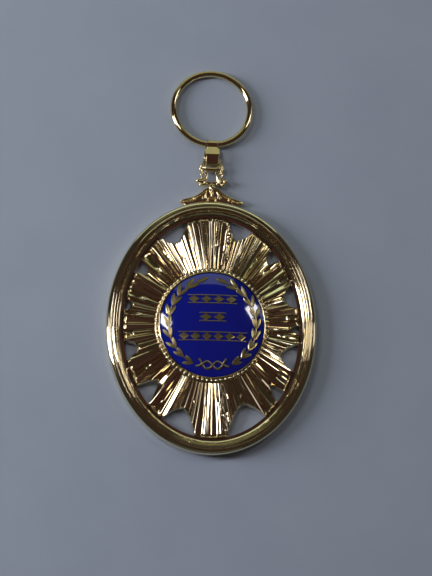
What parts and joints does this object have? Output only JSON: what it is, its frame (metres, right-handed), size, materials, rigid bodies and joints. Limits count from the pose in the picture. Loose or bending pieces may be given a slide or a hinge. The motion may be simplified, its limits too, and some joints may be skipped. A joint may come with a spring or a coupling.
{
  "type": "judge's badge",
  "caption": "Oval gilt badge with a moulded rim, pierced sunburst, beaded bezel round a domed blue enamel disc with a gold wreath, and a cast finial with a swinging bail and ring.",
  "frame": {"origin": "on the back, under the middle of the enamel disc", "axes": "+Z out of the face, +Y up the badge towards the ring, +X to the right as the face is looked at; the badge lies on its back"},
  "size_m": [0.0496, 0.0955, 0.005],
  "materials": {
    "polished_gilt": "polished gilt",
    "ring_gilt": "mirror-polished gilt",
    "inlay_gold": "dull gold",
    "blue_enamel": "glossy fired enamel, opaque"
  },
  "bodies": {
    "medal": {"frame": "polished_gilt", "sunburst": "polished_gilt", "bezel": "polished_gilt", "enamel": "blue_enamel", "wreath": "inlay_gold", "ornament_upper": "inlay_gold", "ornament_middle": "inlay_gold", "ornament_lower": "inlay_gold"},
    "bail": {"bail": "ring_gilt"},
    "ring": {"ring": "ring_gilt"}
  },
  "joints": [
    {"name": "bail_swing", "type": "hinge", "parent": "medal", "child": "bail", "pos_m": [0, 0.0412, 0.00132], "axis": [1, 0, 0], "range_deg": [-90, 90]},
    {"name": "ring_swing", "type": "hinge", "parent": "bail", "child": "ring", "pos_m": [0, 0.04545, 0.00132], "axis": [1, 0, 0], "range_deg": [-90, 90]}
  ]
}
